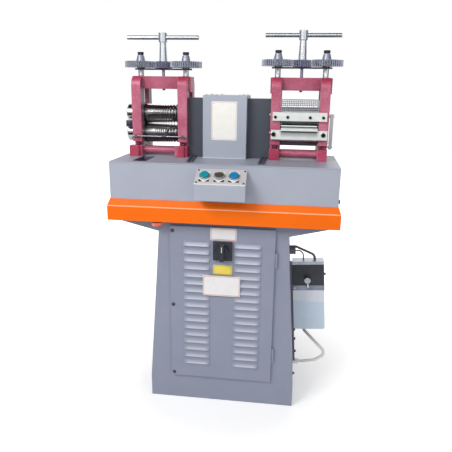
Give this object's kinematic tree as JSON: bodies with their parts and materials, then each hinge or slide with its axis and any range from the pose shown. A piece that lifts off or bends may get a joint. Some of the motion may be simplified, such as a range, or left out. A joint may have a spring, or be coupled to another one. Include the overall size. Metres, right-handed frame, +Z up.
{
  "type": "electric double rolling mill",
  "caption": "Electric jewellers' rolling mill on a louvred pedestal, with a wire-roll head and a sheet-roll head on a bench, T-handle roll setting, control box and side oil pump.",
  "frame": {"origin": "on the floor in the middle of the floor anchors", "axes": "+X to the operator's right, +Y to the back, +Z up"},
  "size_m": [0.76, 0.3839, 1.295],
  "materials": {
    "grey_paint": "satin hammered paint",
    "bench_paint": "satin paint",
    "orange_paint": "gloss paint",
    "red_casting": "gloss enamel on cast iron",
    "slate_paint": "matt paint",
    "bright_steel": "ground",
    "chrome": "polished",
    "gear_steel": "machined",
    "dark_steel": "blackened",
    "bronze": "machined bearing bronze",
    "belt_rubber": "matt",
    "black_plastic": "fine grain",
    "panel_metal": "satin",
    "teal_plastic": "gloss",
    "blue_plastic": "gloss",
    "red_plastic": "gloss",
    "tank_plastic": "moulded",
    "lid_metal": "cast",
    "pipe_plastic": "extruded",
    "hose_plastic": "extruded"
  },
  "bodies": {
    "base": {"plinth": "grey_paint", "cabinet": "grey_paint", "door_hinges": "bright_steel", "bench_shell": "bench_paint", "bench_top": "bench_paint", "apron": "orange_paint", "left_frame": "red_casting", "right_frame": "red_casting", "lower_chocks": "bronze", "pressure_nuts": "bronze", "foot_bolts": "dark_steel", "shaft_bearings": "dark_steel", "drive_cover": "bench_paint", "coupling_guards": "slate_paint", "guide_rod": "bright_steel", "feed_bar": "bright_steel", "feed_table": "bright_steel", "roll_guard": "bright_steel", "keeper_bar": "bright_steel", "control_box": "bench_paint", "control_panel": "panel_metal", "motor_shelf": "grey_paint", "motor": "grey_paint", "drive_belt": "belt_rubber", "electrics_panel": "bench_paint", "glands": "hose_plastic", "pump_bracket": "dark_steel", "pump_housing": "black_plastic", "pump_lid": "lid_metal", "oil_tank": "tank_plastic", "oil_pipes": "pipe_plastic", "return_pipe": "hose_plastic"},
    "door": {"door": "grey_paint", "isolator_base": "black_plastic"},
    "isolator": {"isolator_handle": "black_plastic"},
    "start": {"start_button": "teal_plastic"},
    "selector": {"selector": "black_plastic"},
    "stop": {"stop_button": "blue_plastic"},
    "emergency": {"emergency_button": "red_plastic"},
    "pump_plunger": {"pump_knob": "chrome"},
    "guide": {"wire_guide": "dark_steel"},
    "left_cover": {"left_tray_cover": "bench_paint"},
    "right_cover": {"right_tray_cover": "bench_paint"},
    "drive_line": {"drive_shaft": "bright_steel", "driven_pulley": "dark_steel", "left_lower_roll": "bright_steel", "right_lower_roll": "bright_steel"},
    "motor_rotor": {"motor_pulley": "dark_steel"},
    "left_adjuster": {"left_upper_chocks": "bronze", "left_bridge": "dark_steel"},
    "left_roll": {"left_upper_roll": "bright_steel"},
    "left_screw_out": {"left_outer_screw": "gear_steel"},
    "left_screw_in": {"left_inner_screw": "gear_steel"},
    "left_t_handle": {"left_handle": "chrome"},
    "right_adjuster": {"right_upper_chocks": "bronze", "right_bridge": "dark_steel"},
    "right_roll": {"right_upper_roll": "bright_steel"},
    "right_screw_out": {"right_outer_screw": "gear_steel"},
    "right_screw_in": {"right_inner_screw": "gear_steel"},
    "right_t_handle": {"right_handle": "chrome"}
  },
  "joints": [
    {"name": "door_hinge", "type": "hinge", "parent": "base", "child": "door", "pos_m": [0.183, -0.136, 0.378], "axis": [0, 0, 1], "range_deg": [0, 110]},
    {"name": "isolator_turn", "type": "hinge", "parent": "door", "child": "isolator", "pos_m": [0.003, -0.152, 0.581], "axis": [0, 1, 0], "range_deg": [0, 90]},
    {"name": "start_press", "type": "slide", "parent": "base", "child": "start", "axis": [0, 0.515, -0.8572], "range_m": [0, 0.004], "stiffness_N_per_m": 400},
    {"name": "selector_turn", "type": "hinge", "parent": "base", "child": "selector", "pos_m": [-0.0025, -0.20129, 0.8402], "axis": [0, -0.515, 0.8572], "range_deg": [-45, 45]},
    {"name": "stop_press", "type": "slide", "parent": "base", "child": "stop", "axis": [0, 0.515, -0.8572], "range_m": [0, 0.004], "stiffness_N_per_m": 400},
    {"name": "emergency_press", "type": "slide", "parent": "base", "child": "emergency", "axis": [0, 0, 1], "range_m": [0, 0.004], "stiffness_N_per_m": 900},
    {"name": "pump_pull", "type": "slide", "parent": "base", "child": "pump_plunger", "axis": [0, -1, 0], "range_m": [0, 0.015], "stiffness_N_per_m": 300},
    {"name": "guide_slide", "type": "slide", "parent": "base", "child": "guide", "axis": [1, 0, 0], "range_m": [-0.08, 0.045]},
    {"name": "left_cover_slide", "type": "slide", "parent": "base", "child": "left_cover", "axis": [1, 0, 0], "range_m": [-0.045, 0]},
    {"name": "right_cover_lift", "type": "slide", "parent": "base", "child": "right_cover", "axis": [0, 0, 1], "range_m": [0, 0.03]},
    {"name": "drive_spin", "type": "hinge", "parent": "base", "child": "drive_line", "pos_m": [0, 0.05, 0.951], "axis": [1, 0, 0], "continuous": true},
    {"name": "motor_spin", "type": "hinge", "parent": "base", "child": "motor_rotor", "pos_m": [0, 0.05, 0.43], "axis": [1, 0, 0], "continuous": true},
    {"name": "left_set_slide", "type": "slide", "parent": "base", "child": "left_adjuster", "axis": [0, 0, 1], "range_m": [-0.0018, 0.006]},
    {"name": "left_roll_spin", "type": "hinge", "parent": "left_adjuster", "child": "left_roll", "pos_m": [-0.238, 0.05, 1.019], "axis": [1, 0, 0], "continuous": true},
    {"name": "left_handle_turn", "type": "hinge", "parent": "left_adjuster", "child": "left_t_handle", "pos_m": [-0.238, 0.05, 1.2], "axis": [0, 0, 1], "range_deg": [-1370, 410]},
    {"name": "left_screw_out_turn", "type": "hinge", "parent": "left_adjuster", "child": "left_screw_out", "pos_m": [-0.318, 0.05, 1.15], "axis": [0, 0, 1], "range_deg": [-216, 720]},
    {"name": "left_screw_in_turn", "type": "hinge", "parent": "left_adjuster", "child": "left_screw_in", "pos_m": [-0.158, 0.05, 1.15], "axis": [0, 0, 1], "range_deg": [-216, 720]},
    {"name": "right_set_slide", "type": "slide", "parent": "base", "child": "right_adjuster", "axis": [0, 0, 1], "range_m": [-0.0018, 0.006]},
    {"name": "right_roll_spin", "type": "hinge", "parent": "right_adjuster", "child": "right_roll", "pos_m": [0.238, 0.05, 1.019], "axis": [1, 0, 0], "continuous": true},
    {"name": "right_handle_turn", "type": "hinge", "parent": "right_adjuster", "child": "right_t_handle", "pos_m": [0.238, 0.05, 1.2], "axis": [0, 0, 1], "range_deg": [-1370, 410]},
    {"name": "right_screw_out_turn", "type": "hinge", "parent": "right_adjuster", "child": "right_screw_out", "pos_m": [0.318, 0.05, 1.15], "axis": [0, 0, 1], "range_deg": [-216, 720]},
    {"name": "right_screw_in_turn", "type": "hinge", "parent": "right_adjuster", "child": "right_screw_in", "pos_m": [0.158, 0.05, 1.15], "axis": [0, 0, 1], "range_deg": [-216, 720]}
  ],
  "couplings": [
    {"joint": "motor_spin", "follows": "drive_spin", "ratio": 1.8182},
    {"joint": "left_roll_spin", "follows": "drive_spin", "ratio": -1},
    {"joint": "left_set_slide", "follows": "left_handle_turn", "m_per_rad": -0.0002501},
    {"joint": "left_screw_out_turn", "follows": "left_handle_turn", "ratio": -0.52381},
    {"joint": "left_screw_in_turn", "follows": "left_handle_turn", "ratio": -0.52381},
    {"joint": "right_roll_spin", "follows": "drive_spin", "ratio": -1},
    {"joint": "right_set_slide", "follows": "right_handle_turn", "m_per_rad": -0.0002501},
    {"joint": "right_screw_out_turn", "follows": "right_handle_turn", "ratio": -0.52381},
    {"joint": "right_screw_in_turn", "follows": "right_handle_turn", "ratio": -0.52381}
  ]
}
